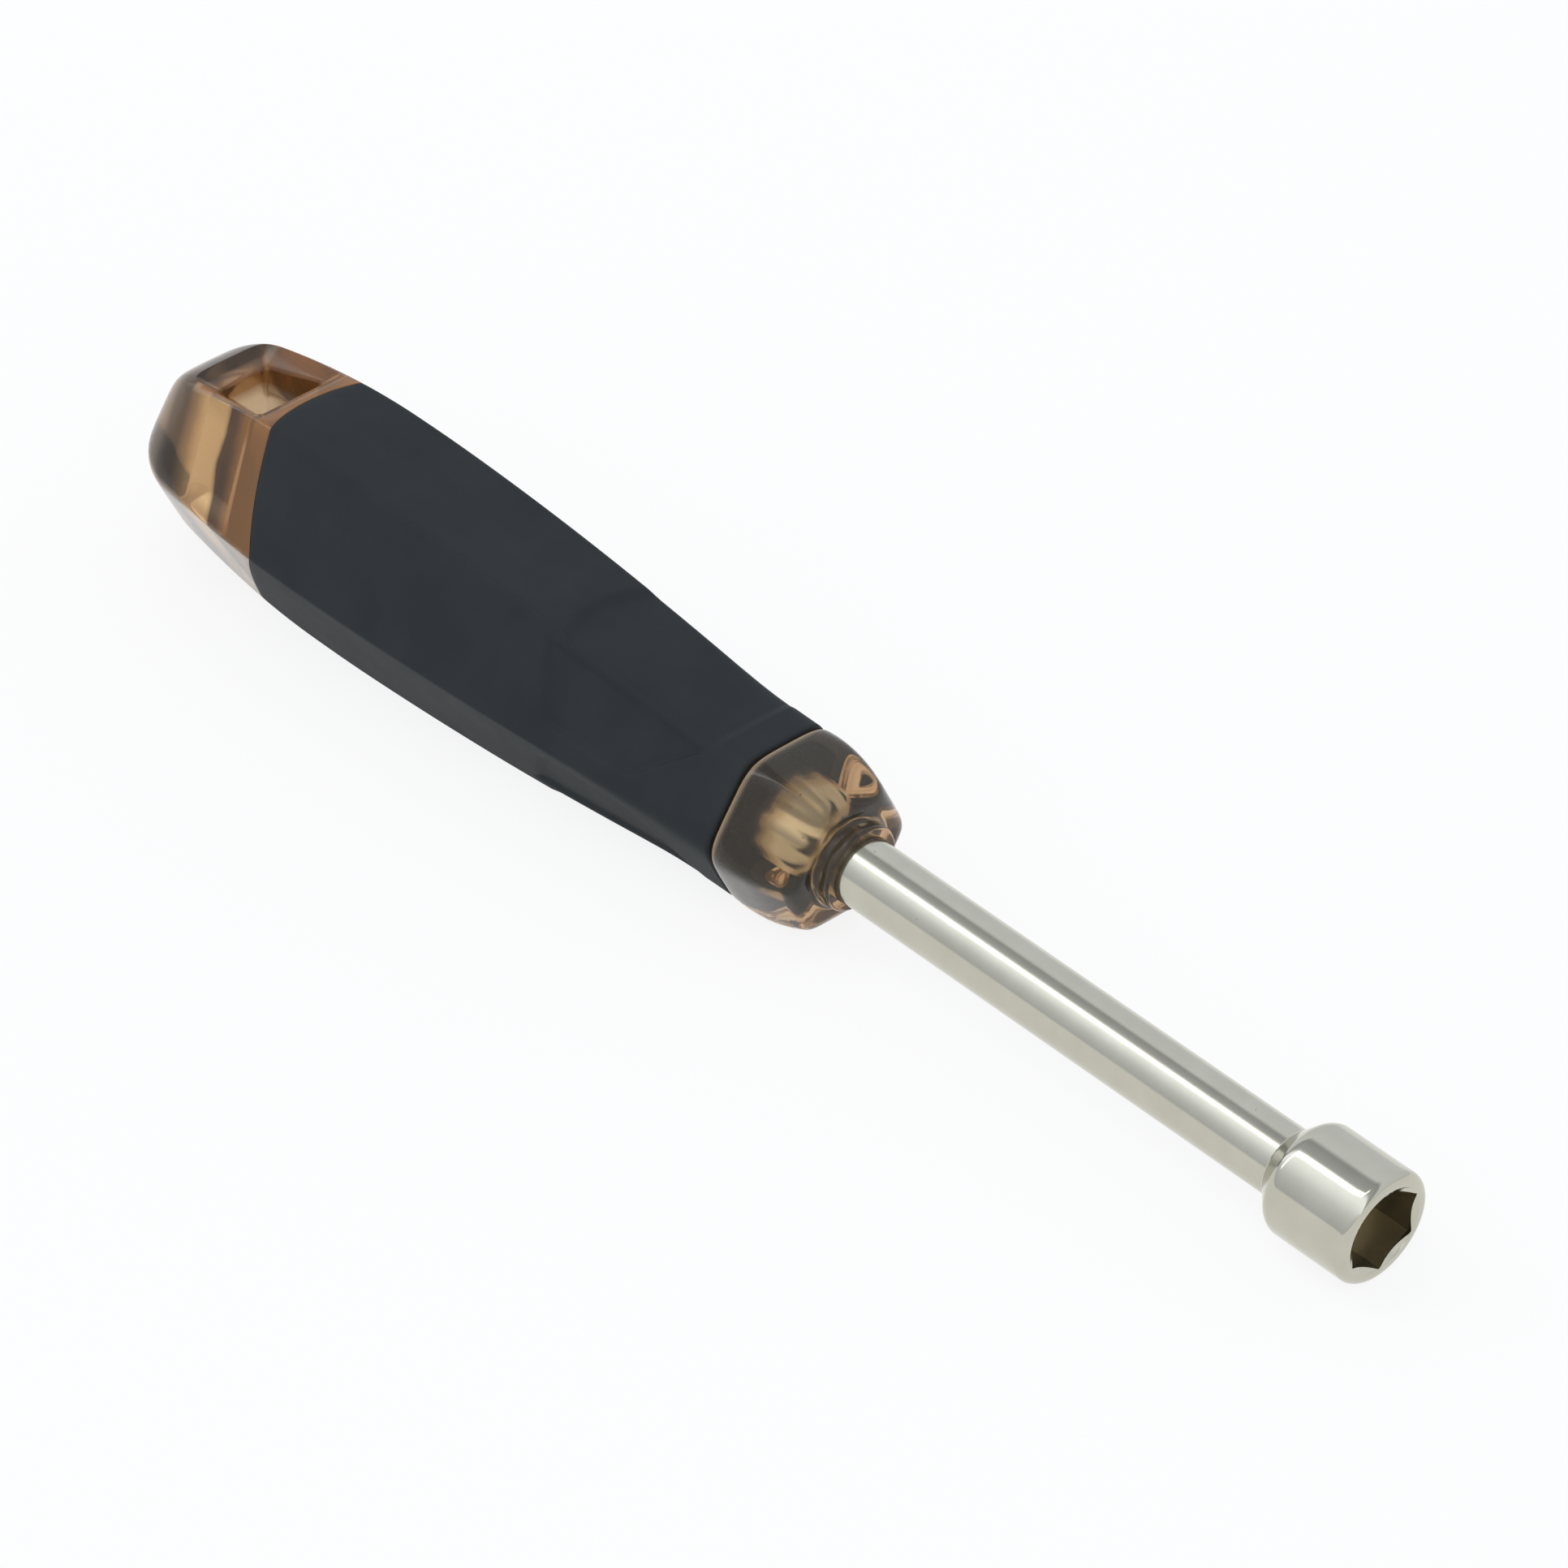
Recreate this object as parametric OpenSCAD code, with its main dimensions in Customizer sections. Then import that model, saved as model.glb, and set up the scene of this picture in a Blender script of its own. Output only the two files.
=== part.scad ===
// Nut driver with a hollow shaft and a six-sided cushion-grip handle.
// The tool lies along X: the mouth of the socket is at the origin and opens towards +X,
// and the flat of the handle that the hanging hole goes through faces +Z.

/* [Socket head] */
// Width across the flats of the nut that it drives
nut_af = 9.525; // [6:0.005:10.5]
// Room between the nut and the hexagon, across the flats
nut_clearance = 0.1; // [0.04:0.01:0.3]
// Outside diameter of the head
socket_d = 14.4; // [13.6:0.1:18]
// Length of the head
socket_len = 14.5; // [14:0.1:20]
// Depth of the hexagon from the mouth
hex_depth = 9; // [5:0.1:9.4]
// Diameter of the lead-in cone at the mouth
lead_d = 11; // [9.8:0.05:11.6]
// Angle between the lead-in cone and the axis
lead_angle = 58; // [30:1:65]
// Rounding of the rim at the mouth
mouth_round = 1.1; // [0.3:0.05:1.3]
// Rounding between the shoulder and the barrel of the head
shoulder_round = 2.2; // [0.5:0.1:3]

/* [Shaft] */
// Outside diameter of the tube
shaft_d = 8.6; // [7.4:0.1:9.4]
// Bore of the tube
bore_d = 5.8; // [4:0.1:6.6]
// Length of tube that is pressed into the head
seat_len = 4.5; // [3:0.1:4.6]
// Distance from the mouth to the front of the handle
shank_len = 83.5; // [60:0.5:150]
// Length of tube inside the handle
embed_len = 64; // [45:0.5:75]
// Length of the flattened tail
tail_len = 14; // [8:0.5:20]
// Width of the flattened tail
tail_w = 12.4; // [10:0.1:14]
// Thickness of the flattened tail
tail_t = 2.8; // [2:0.1:4]
// Length over which the tube is pinched to the tail
pinch_len = 11; // [6:0.5:16]
// Gap at the pressed and moulded seats
fit_gap = 0.03; // [0.01:0.01:0.1]

/* [Handle] */
// Length of the handle
handle_len = 114.4; // [105:0.2:130]
// Width across the flats at the belly
belly_af = 26.4; // [24:0.1:30]
// Distance from the butt to the belly
belly_from_butt = 31.7; // [28:0.1:36]
// Radius of the flats behind the belly, seen from the side
rear_r = 135; // [110:1:220]
// Distance from the widest part of the flats to that of the ridges
ridge_lead = 2; // [1:0.1:4]
// Width across the flats where the grip meets the nose
front_af = 18.6; // [17.5:0.1:21]
// Rounding cut off the six ridges at the belly, measured at the ridge
ridge_cut = 0.38; // [0.2:0.01:0.8]
// Rounding cut off the six ridges at the seam and the nose
front_ridge_cut = 0.85; // [0.4:0.05:1.1]
// Length of the nose
nose_len = 11.5; // [9:0.1:15]
// Width across the flats at the widest part of the nose
nose_af = 21; // [20.2:0.1:22]
// Distance from the seam to the widest part of the nose
nose_crown = 2.4; // [1:0.1:4]
// Width across the flats at the front of the nose
nose_front_af = 16.7; // [16:0.1:18]
// Rounding of the front edge of the nose
nose_round = 2.4; // [1:0.1:2.6]
// Diameter of the collar around the shaft
boss_d = 11.2; // [10.4:0.1:11.6]
// Height of the collar around the shaft
boss_len = 2; // [1.2:0.1:3]
// Radius of the cove between the collar and the nose
cove_r = 0.8; // [0.4:0.05:1]
// Bevel on both sides of the seam
seam_bevel = 0.35; // [0.1:0.05:0.6]

/* [Grip] */
// Thickness of the cushion
grip_t = 2.2; // [1.5:0.1:3]
// Distance from the butt to the rear edge of the cushion
grip_from_butt = 21.4; // [20.5:0.1:25]
// Radius of the rear edge of the cushion, seen from above
grip_rear_r = 20; // [17:0.5:40]
// Length of the raised band at the front of the cushion
band_len = 5.3; // [3.5:0.1:8]
// Width across the flats of the raised band
band_af = 20.5; // [20:0.1:21.5]
// Depth of the recesses in the flats
recess_depth = 0.4; // [0.2:0.05:0.8]
// Length of the recess in the upper and lower flats
recess_len = 25; // [15:0.5:40]
// Width of the slope around a recess
recess_slope = 1.2; // [0.5:0.1:2]
// Length of the recesses in the side flats
panel_len = 27.5; // [18:0.5:40]
// Land between a side recess and the ridge above it
panel_margin = 2.4; // [1.5:0.1:3]
// Slant of the front end of a side recess
panel_front_slant = 8.5; // [3:0.5:10]
// Slant of the rear end of a side recess
panel_rear_slant = 5; // [1:0.5:8]

/* [Hanging hole] */
// Distance from the butt to the hole
hole_from_butt = 9.8; // [8:0.1:11]
// Length of the hole
hole_len = 8.7; // [5:0.1:9]
// Width of the hole at its rear end
hole_rear_w = 7.4; // [5:0.1:9]
// Width of the hole at its front end
hole_front_w = 10.2; // [6:0.1:11]
// Width of the sloping frame around the hole
frame_w = 1.9; // [1:0.1:2.2]
// Depth of the sloping frame
frame_depth = 1.5; // [0.6:0.1:2.2]
// Tilt of the sloping frame towards the butt
frame_tilt = 12.5; // [0:0.5:16]

/* [Hidden] */
$fn = 128;
HEX = 6;
reach = 40;
sheet = 0.01;
ridge = 1 / cos(30);

hex_r = (nut_af + nut_clearance) / 2 * ridge;
lead_len = (lead_d - nut_af) / 2 / tan(lead_angle);
seat_x = seat_len - socket_len;
tail_x = -shank_len - embed_len;
pinch_x = tail_x + tail_len;

nose_x = -shank_len;
seam_x = nose_x - nose_len;
butt_x = nose_x - handle_len;
belly_x = butt_x + belly_from_butt;
band_x = seam_x - band_len;
grip_x = butt_x + grip_from_butt;
hole_x = butt_x + hole_from_butt;
hole_end_x = hole_x + hole_len;

// Radius of an arc that falls by drop over run from its crown
function arc_r(run, drop) = (run * run + drop * drop) / (2 * drop);

// Height at station x of an arc of radius r that is crowned at height h and station crown_x
function arc_h(x, crown_x, h, r) = h - r + sqrt(r * r - (x - crown_x) * (x - crown_x));

// Half the width across the flats of the cushion at a station ahead of the belly
function flat_h(x) =
    arc_h(x, belly_x, belly_af / 2, arc_r(seam_x - belly_x, (belly_af - front_af) / 2));

// Half the width of a flat at that station
function flat_w(x) = flat_h(x) * tan(30);

// Region between two arcs of radius r that bulge to half height h at station x
module lens(x, h, r) {
    intersection() {
        translate([x, h - r]) circle(r, $fn = 512);
        translate([x, r - h]) circle(r, $fn = 512);
    }
}

// Everything between two stations
module between(x0, x1) {
    translate([x0, -reach]) square([x1 - x0, 2 * reach]);
}

// Side outline of the barrel from the rounded butt to the seam, widest at crown_x.
// stretch turns the outline of the flats into that of the ridges, and the cuts draw it in.
module barrel_outline(stretch, belly_cut, front_cut, crown_x) {
    crown_h = belly_af / 2 * stretch - belly_cut;
    front_h = front_af / 2 * stretch - front_cut;
    run = crown_x - butt_x;
    back_r = rear_r / stretch;
    end_r = (2 * crown_h * back_r - crown_h * crown_h - run * run) / (2 * (back_r - run));
    end_x = butt_x + end_r;
    blend_x = crown_x + (end_x - crown_x) * back_r / (back_r - end_r);
    translate([end_x, 0]) circle(end_r);
    intersection() {
        lens(crown_x, crown_h, back_r);
        between(blend_x, crown_x + 1);
    }
    intersection() {
        lens(crown_x, crown_h, arc_r(seam_x - crown_x, crown_h - front_h));
        between(crown_x, seam_x);
    }
}

// Side outline of the crowned band at the front of the cushion
module band_outline(stretch, inset) {
    crown_h = band_af / 2 * stretch - inset;
    rear_h = flat_h(band_x) * stretch - inset;
    crown_x = (band_x + seam_x) / 2;
    intersection() {
        lens(crown_x, crown_h, arc_r(band_len / 2, crown_h - rear_h));
        between(band_x, seam_x);
    }
}

// Side outline of the nose with its rounded front edge
module nose_outline(stretch, inset) {
    crown_x = seam_x + nose_crown;
    crown_h = nose_af / 2 * stretch - inset;
    front_h = nose_front_af / 2 * stretch - inset;
    arc = arc_r(nose_x - crown_x, crown_h - front_h);
    round_x = nose_x - nose_round;
    round_h = arc_h(round_x, crown_x, crown_h - nose_round, arc - nose_round);
    blend_x = crown_x + (round_x - crown_x) * arc / (arc - nose_round);
    intersection() {
        lens(crown_x, crown_h, arc);
        between(seam_x, blend_x);
    }
    translate([round_x, round_h]) circle(nose_round);
    translate([round_x, -round_h]) circle(nose_round);
    translate([seam_x, -round_h]) square([nose_len, 2 * round_h]);
}

// Six-sided bar whose three pairs of flats follow a side outline
module six_flats() {
    intersection_for (turn = [0:2])
        rotate([90 + 60 * turn, 0, 0])
            linear_extrude(2 * reach, center = true) children();
}

// Solid of revolution about the tool's axis from a side outline
module turned() {
    rotate([0, 90, 0]) rotate_extrude() intersection() {
        mirror([1, -1, 0]) children();
        translate([0, -4 * shank_len]) square([reach, 8 * shank_len]);
    }
}

// The barrel, the band and the nose as six-sided bars with their ridges rounded off
module barrel() {
    intersection() {
        six_flats() barrel_outline(1, 0, 0, belly_x);
        turned() barrel_outline(ridge, ridge_cut, front_ridge_cut, belly_x + ridge_lead);
    }
}

module band() {
    intersection() {
        six_flats() band_outline(1, 0);
        turned() band_outline(ridge, front_ridge_cut);
    }
}

module nose() {
    intersection() {
        six_flats() nose_outline(1, 0);
        turned() nose_outline(ridge, front_ridge_cut);
    }
}

// Side outline of the collar around the shaft with the cove at its foot, drawn from inside the nose
module collar_outline() {
    r = boss_d / 2;
    foot_x = nose_x - cove_r;
    translate([band_x, 0]) square([nose_x + boss_len - band_x, r]);
    difference() {
        translate([foot_x, 0]) square([2 * cove_r, r + cove_r]);
        translate([nose_x + cove_r - sheet, r + cove_r]) circle(cove_r);
    }
}

// Wedge ring that bevels an edge of the seam; side is 1 ahead of it and -1 behind it
module seam_edge(side, af) {
    h = af / 2 - seam_bevel;
    difference() {
        translate([seam_x - seam_bevel, -reach, -reach]) cube([2 * seam_bevel, 2 * reach, 2 * reach]);
        six_flats() polygon([
            [seam_x, h], [seam_x + 2 * side * seam_bevel, h + 2 * seam_bevel],
            [seam_x + 2 * side * seam_bevel, -h - 2 * seam_bevel], [seam_x, -h]
        ]);
    }
}

// Space behind the nose that the cushion fills: its rear edge is an arc seen from above
module grip_space(gap) {
    linear_extrude(2 * reach, center = true) {
        translate([grip_x + grip_rear_r, 0]) circle(grip_rear_r + gap);
        translate([grip_x + grip_rear_r, -reach])
            square([seam_x + gap - grip_x - grip_rear_r, 2 * reach]);
    }
}

// Six-sided stem under the cushion
module under_grip(gap) {
    six_flats() intersection() {
        barrel_outline(1, grip_t - gap, grip_t - gap, belly_x);
        between(grip_x - grip_t, seam_x);
    }
}

// Recess across the whole of an upper or lower flat, with a sloping rear end
module flat_recess() {
    rear_x = band_x - recess_len;
    rear_h = flat_h(rear_x);
    rotate([90, 0, 0]) linear_extrude(2 * reach, center = true) difference() {
        polygon([
            [rear_x - recess_slope, rear_h + recess_depth],
            [band_x, rear_h - recess_len * recess_depth / recess_slope],
            [band_x, rear_h + recess_depth]
        ]);
        barrel_outline(1, recess_depth, recess_depth, belly_x);
    }
}

// Recess in a side flat: a long edge along the ridge above it, a short edge below, sloping walls
module panel_recess() {
    rear_x = band_x - panel_len;
    rear_low_x = rear_x + panel_rear_slant;
    front_low_x = band_x - panel_front_slant;
    fall = atan2(flat_h(rear_x) - flat_h(band_x), panel_len);
    outline = [
        [0, flat_w(rear_x) - panel_margin],
        [panel_rear_slant, panel_margin - flat_w(rear_low_x)],
        [panel_len - panel_front_slant, panel_margin - flat_w(front_low_x)],
        [panel_len, flat_w(band_x) - panel_margin]
    ];
    difference() {
        translate([rear_x, 0, flat_h(rear_x)]) rotate([0, fall, 0]) hull() {
            translate([0, 0, -recess_depth]) linear_extrude(sheet)
                offset(delta = -recess_slope) polygon(outline);
            translate([0, 0, recess_depth]) linear_extrude(sheet)
                offset(delta = recess_slope) polygon(outline);
        }
        rotate([90, 0, 0]) linear_extrude(2 * reach, center = true)
            barrel_outline(1, recess_depth, recess_depth, belly_x);
    }
}

// Hanging hole through the upper and lower flats, framed by a slope at each end
module hanging_hole() {
    outline = [
        [hole_x, -hole_rear_w / 2], [hole_end_x, -hole_front_w / 2],
        [hole_end_x, hole_front_w / 2], [hole_x, hole_rear_w / 2]
    ];
    frame_h = arc_h(hole_end_x, belly_x, belly_af / 2, rear_r);
    linear_extrude(2 * reach, center = true) polygon(outline);
    for (face = [0, 1]) mirror([0, 0, face])
        translate([hole_end_x, 0, frame_h - frame_depth]) rotate([0, -frame_tilt, 0])
            translate([-hole_end_x, 0, 0]) hull() {
                linear_extrude(sheet) polygon(outline);
                translate([0, 0, 2 * frame_depth]) linear_extrude(sheet)
                    offset(delta = 2 * frame_w) polygon(outline);
            }
}

// The steel tube without its bore: round to the pinch, then flattened to a winged tail
module shaft_body(gap) {
    round_r = shaft_d / 2 + gap;
    tail_h = tail_t / 2 + gap;
    spread_x = pinch_x + pinch_len;
    intersection() {
        translate([tail_x - gap, 0, 0]) rotate([0, 90, 0]) cylinder(r = round_r, h = seat_x - tail_x + gap);
        rotate([90, 0, 0]) linear_extrude(2 * reach, center = true) polygon([
            [tail_x - gap, -tail_h], [pinch_x, -tail_h], [spread_x, -round_r], [0, -round_r],
            [0, round_r], [spread_x, round_r], [pinch_x, tail_h], [tail_x - gap, tail_h]
        ]);
    }
    linear_extrude(2 * tail_h, center = true) polygon([
        [tail_x - gap, -tail_w / 2 - gap], [pinch_x, -tail_w / 2 - gap], [spread_x, 0],
        [pinch_x, tail_w / 2 + gap], [tail_x - gap, tail_w / 2 + gap]
    ]);
}

// Moulded core of clear amber plastic: butt, stem under the cushion, and nose
module handle_core() {
    color("peru") difference() {
        union() {
            difference() {
                barrel();
                grip_space(fit_gap);
            }
            under_grip(0);
            difference() {
                nose();
                seam_edge(1, nose_af);
            }
            turned() collar_outline();
        }
        hanging_hole();
        shaft_body(fit_gap);
    }
}

// Black rubber cushion moulded around the core
module grip_sleeve() {
    color("darkslategray") difference() {
        intersection() {
            union() {
                barrel();
                band();
            }
            grip_space(0);
        }
        under_grip(fit_gap);
        seam_edge(-1, band_af);
        for (face = [0, 1]) mirror([0, 0, face]) {
            flat_recess();
            for (side = [0, 1]) mirror([0, side, 0]) rotate([60, 0, 0]) panel_recess();
        }
    }
}

// Nickel-plated steel tube, open at the socket end and flattened inside the handle
module shaft_tube() {
    color("silver") difference() {
        shaft_body(0);
        translate([pinch_x + pinch_len, 0, 0]) rotate([0, 90, 0])
            cylinder(d = bore_d, h = seat_x - pinch_x);
    }
}

// Turned profile of the head from the shoulder to the rounded mouth
module head_outline() {
    r = socket_d / 2;
    root = shaft_d / 2 + fit_gap;
    corner_x = r - root - socket_len;
    setback = shoulder_round * tan(22.5);
    slope_pt = [corner_x - setback * cos(45), r - setback * sin(45)];
    barrel_pt = [corner_x + setback, r];
    polygon([
        [-socket_len, 0], [0, 0], [0, r - mouth_round], [-mouth_round, r],
        barrel_pt, slope_pt, [-socket_len, root]
    ]);
    translate([barrel_pt[0], r - shoulder_round]) circle(shoulder_round);
    translate([-mouth_round, r - mouth_round]) circle(mouth_round);
}

// Steel socket head, pressed on the end of the tube, with a hexagon that runs into the bore
module socket_head() {
    color("gainsboro") difference() {
        rotate([0, 90, 0]) rotate_extrude() mirror([1, -1, 0]) head_outline();
        translate([-hex_depth, 0, 0]) rotate([0, 90, 0]) cylinder(r = hex_r, h = 2 * hex_depth, $fn = HEX);
        translate([-lead_len, 0, 0]) rotate([0, 90, 0])
            cylinder(d1 = nut_af, d2 = lead_d, h = lead_len);
        translate([-socket_len, 0, 0]) rotate([0, 90, 0]) cylinder(d = bore_d, h = socket_len);
        translate([-2 * socket_len, 0, 0]) rotate([0, 90, 0])
            cylinder(r = shaft_d / 2 + fit_gap, h = 2 * socket_len + seat_x + fit_gap);
    }
}

handle_core();
grip_sleeve();
shaft_tube();
socket_head();
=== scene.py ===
import math
import bmesh
import bpy
import numpy as np
from mathutils import Matrix, Vector


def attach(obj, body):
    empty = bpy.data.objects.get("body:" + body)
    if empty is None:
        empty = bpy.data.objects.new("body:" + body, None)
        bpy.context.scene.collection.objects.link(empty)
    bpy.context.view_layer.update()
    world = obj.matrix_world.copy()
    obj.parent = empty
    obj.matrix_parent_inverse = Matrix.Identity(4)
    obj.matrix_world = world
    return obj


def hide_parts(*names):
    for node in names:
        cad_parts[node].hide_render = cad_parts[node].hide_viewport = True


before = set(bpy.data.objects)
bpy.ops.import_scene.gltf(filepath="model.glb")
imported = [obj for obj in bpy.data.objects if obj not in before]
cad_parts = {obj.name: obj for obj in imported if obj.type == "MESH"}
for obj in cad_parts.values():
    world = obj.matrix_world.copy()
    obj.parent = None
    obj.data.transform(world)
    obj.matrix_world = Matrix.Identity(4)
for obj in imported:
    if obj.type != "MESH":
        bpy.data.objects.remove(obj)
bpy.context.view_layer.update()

# Shaft tube
# A straight drawn steel tube, plated with nickel. Its rear end is pinched flat and spread into wings
# before the handle is moulded around it, so that it can't turn in the plastic.
MM = 0.001
COLUMNS = 384
around = np.linspace(0, 2 * math.pi, COLUMNS, endpoint=False)
shaft_r = 4.3
bore_r = 2.9
shaft_front = -10.0
shaft_edge = 0.3
bore_edge = 0.25
bore_end_drop = 1.2
pinch_start = -122.5
pinch_end = -133.5
tail_end = -147.5
tail_edge = 0.4
tail_half_width = 6.2
tail_half_height = 1.4
tail_squareness = 3


def smooth_step(low, high, value):
    t = np.clip((value - low) / (high - low), 0, 1)
    return t * t * (3 - 2 * t)


def even_steps(start, end, count):
    """Evenly spaced numbers from start to end, of which the first is left out."""
    return np.linspace(start, end, count)[1:]


def ring(x, radius):
    """Points around the tool's axis: +Y at the first column, turning towards +Z."""
    x = np.broadcast_to(np.asarray(x, float), around.shape)
    radius = np.broadcast_to(np.asarray(radius, float), around.shape)
    return np.stack([x, radius * np.cos(around), radius * np.sin(around)], 1)


def new_piece(name, points, faces):
    """An object from points in millimetres."""
    mesh = bpy.data.meshes.new(name)
    mesh.from_pydata((np.asarray(points) * MM).tolist(), [], faces)
    mesh.validate()
    piece = bpy.data.objects.new(name, mesh)
    bpy.context.scene.collection.objects.link(piece)
    return piece


def skin(name, rings, closed_loop):
    """A piece with a skin through rings of points in millimetres.
    A closed loop joins its last ring to its first, and an open row of rings gets end caps."""
    rows, cols = len(rings), COLUMNS
    points = np.concatenate(rings)
    joined_rows = np.arange(rows if closed_loop else rows - 1)
    row, col = np.meshgrid(joined_rows, np.arange(cols), indexing="ij")
    next_row, next_col = (row + 1) % rows, (col + 1) % cols
    corners = [row * cols + col, row * cols + next_col, next_row * cols + next_col, next_row * cols + col]
    faces = np.stack(corners, -1).reshape(-1, 4).tolist()
    if not closed_loop:
        first, last = len(points), len(points) + 1
        points = np.concatenate([points, [points[:cols].mean(0)], [points[-cols:].mean(0)]])
        last_row = (rows - 1) * cols
        for k in range(cols):
            n = (k + 1) % cols
            faces.append([first, n, k])
            faces.append([last, last_row + k, last_row + n])
    return new_piece(name, points, faces)


def clean_shading(piece, crease_deg):
    """Merges points that meet, turns the faces outwards and shades smooth up to the crease angle."""
    work = bmesh.new()
    work.from_mesh(piece.data)
    bmesh.ops.remove_doubles(work, verts=work.verts, dist=2e-6)
    bmesh.ops.dissolve_degenerate(work, edges=work.edges, dist=1e-7)
    bmesh.ops.recalc_face_normals(work, faces=work.faces)
    work.to_mesh(piece.data)
    work.free()
    piece.data.shade_smooth()
    piece.data.set_sharp_from_angle(angle=math.radians(crease_deg))


def tail_radius(x, grow):
    """The tube's section: round ahead of the pinch, a flat oval with full corners in the tail."""
    t = smooth_step(pinch_start, pinch_end, x)
    wide = shaft_r + (tail_half_width - shaft_r) * t + grow
    high = shaft_r + (tail_half_height - shaft_r) * t + grow
    power = 2 + tail_squareness * t
    across, upright = np.abs(np.cos(around) / wide), np.abs(np.sin(around) / high)
    return (across ** power + upright ** power) ** (-1 / power)


# Outside of the tube from the tail to the front, then its bore back to a blunt end at the pinch
tube_rings = [ring(tail_end, tail_radius(tail_end, -tail_edge))]
tube_rings += [ring(tail_end + tail_edge / 4, tail_radius(tail_end, -tail_edge / 4))]
tube_rings += [ring(x, tail_radius(x, 0)) for x in np.linspace(tail_end + tail_edge, pinch_end, 12)]
tube_rings += [ring(x, tail_radius(x, 0)) for x in even_steps(pinch_end, pinch_start, 24)]
tube_rings += [ring(x, shaft_r) for x in even_steps(pinch_start, shaft_front - shaft_edge, 60)]
tube_rings += [ring(shaft_front - 0.3 * shaft_edge, shaft_r - 0.3 * shaft_edge)]
tube_rings += [ring(shaft_front, shaft_r - shaft_edge)]
tube_rings += [ring(shaft_front, bore_r + bore_edge), ring(shaft_front - bore_edge, bore_r)]
tube_rings += [ring(x, bore_r) for x in np.linspace(shaft_front - 1, pinch_start + 1, 40)]
tube_rings += [ring(pinch_start + bore_end_drop / 4, bore_r - bore_end_drop / 3)]
tube_rings += [ring(pinch_start, bore_r - bore_end_drop)]
shaft = skin("shaft", tube_rings, closed_loop=False)
clean_shading(shaft, crease_deg=35)


class Finish:
    """A material in the making, with the few kinds of node that the finishes here are made of."""

    def __init__(self, name):
        self.material = bpy.data.materials.new(name)
        self.material.use_nodes = True
        self.nodes = self.material.node_tree.nodes
        self.shader = self.nodes["Principled BSDF"]
        self.place = self.add("ShaderNodeTexCoord").outputs["Object"]

    def add(self, kind, **settings):
        """A new node; the settings name its inputs or its options."""
        node = self.nodes.new(kind)
        for key, value in settings.items():
            if key in node.inputs:
                node.inputs[key].default_value = value
            else:
                setattr(node, key, value)
        return node

    def join(self, source, target):
        self.material.node_tree.links.new(source, target)

    def axes(self):
        """The three coordinates of a place on the piece."""
        split = self.add("ShaderNodeSeparateXYZ")
        self.join(self.place, split.inputs["Vector"])
        return split.outputs["X"], split.outputs["Y"], split.outputs["Z"]

    def noise(self, **settings):
        """Noise that is fixed to the piece."""
        node = self.add("ShaderNodeTexNoise", **settings)
        self.join(self.place, node.inputs["Vector"])
        return node.outputs["Fac"]

    def span(self, source, low, high, at_low=0, at_high=1):
        """A number that goes from at_low to at_high while the source goes from low to high."""
        node = self.add("ShaderNodeMapRange")
        ends = {"From Min": low, "From Max": high, "To Min": at_low, "To Max": at_high}
        for key, value in ends.items():
            node.inputs[key].default_value = value
        self.join(source, node.inputs["Value"])
        return node.outputs["Result"]

    def calc(self, operation, *terms):
        """Sum, product or the like of terms, each of them a number or a node's output."""
        node = self.add("ShaderNodeMath", operation=operation)
        for slot, term in zip(node.inputs, terms):
            if isinstance(term, (int, float)):
                slot.default_value = term
            else:
                self.join(term, slot)
        return node.outputs[0]

    def ramp(self, source, stops):
        """A colour ramp; stops are places from 0 to 1 with their colours."""
        node = self.add("ShaderNodeValToRGB")
        elements = node.color_ramp.elements
        while len(elements) < len(stops):
            elements.new(0.5)
        for stop, (position, colour) in zip(elements, stops):
            stop.position = position
            stop.color = (*colour, 1)
        self.join(source, node.inputs["Fac"])
        return node.outputs["Color"]

    def blotches(self, scale, detail, low, high):
        """Soft clouds of two colours; low and high are noise levels with their colours."""
        return self.ramp(self.noise(Scale=scale, Detail=detail, Roughness=0.55), [low, high])

    def tint(self, share, under, colour):
        """The colour underneath, turned into another one by a share."""
        node = self.add("ShaderNodeMix", data_type="RGBA")
        self.join(share, node.inputs["Factor"])
        self.join(under, node.inputs[6])
        node.inputs[7].default_value = (*colour, 1)
        return node.outputs[2]

    def bump(self, height, strength, depth, over=None, sunk=False):
        """Relief in the surface, on top of another relief if there is one."""
        node = self.add("ShaderNodeBump", Strength=strength, Distance=depth, invert=sunk)
        self.join(height, node.inputs["Height"])
        if over is not None:
            self.join(over, node.inputs["Normal"])
        return node.outputs["Normal"]


plate_bright = (0.54, 0.53, 0.445)
plate_dull = (0.51, 0.50, 0.415)
pit_brown = (0.16, 0.15, 0.13)
bare_steel = (0.62, 0.57, 0.45)
bare_roughness = 0.16
bare_fade = 0.1
bare_rear_fade = 0.5


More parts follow.
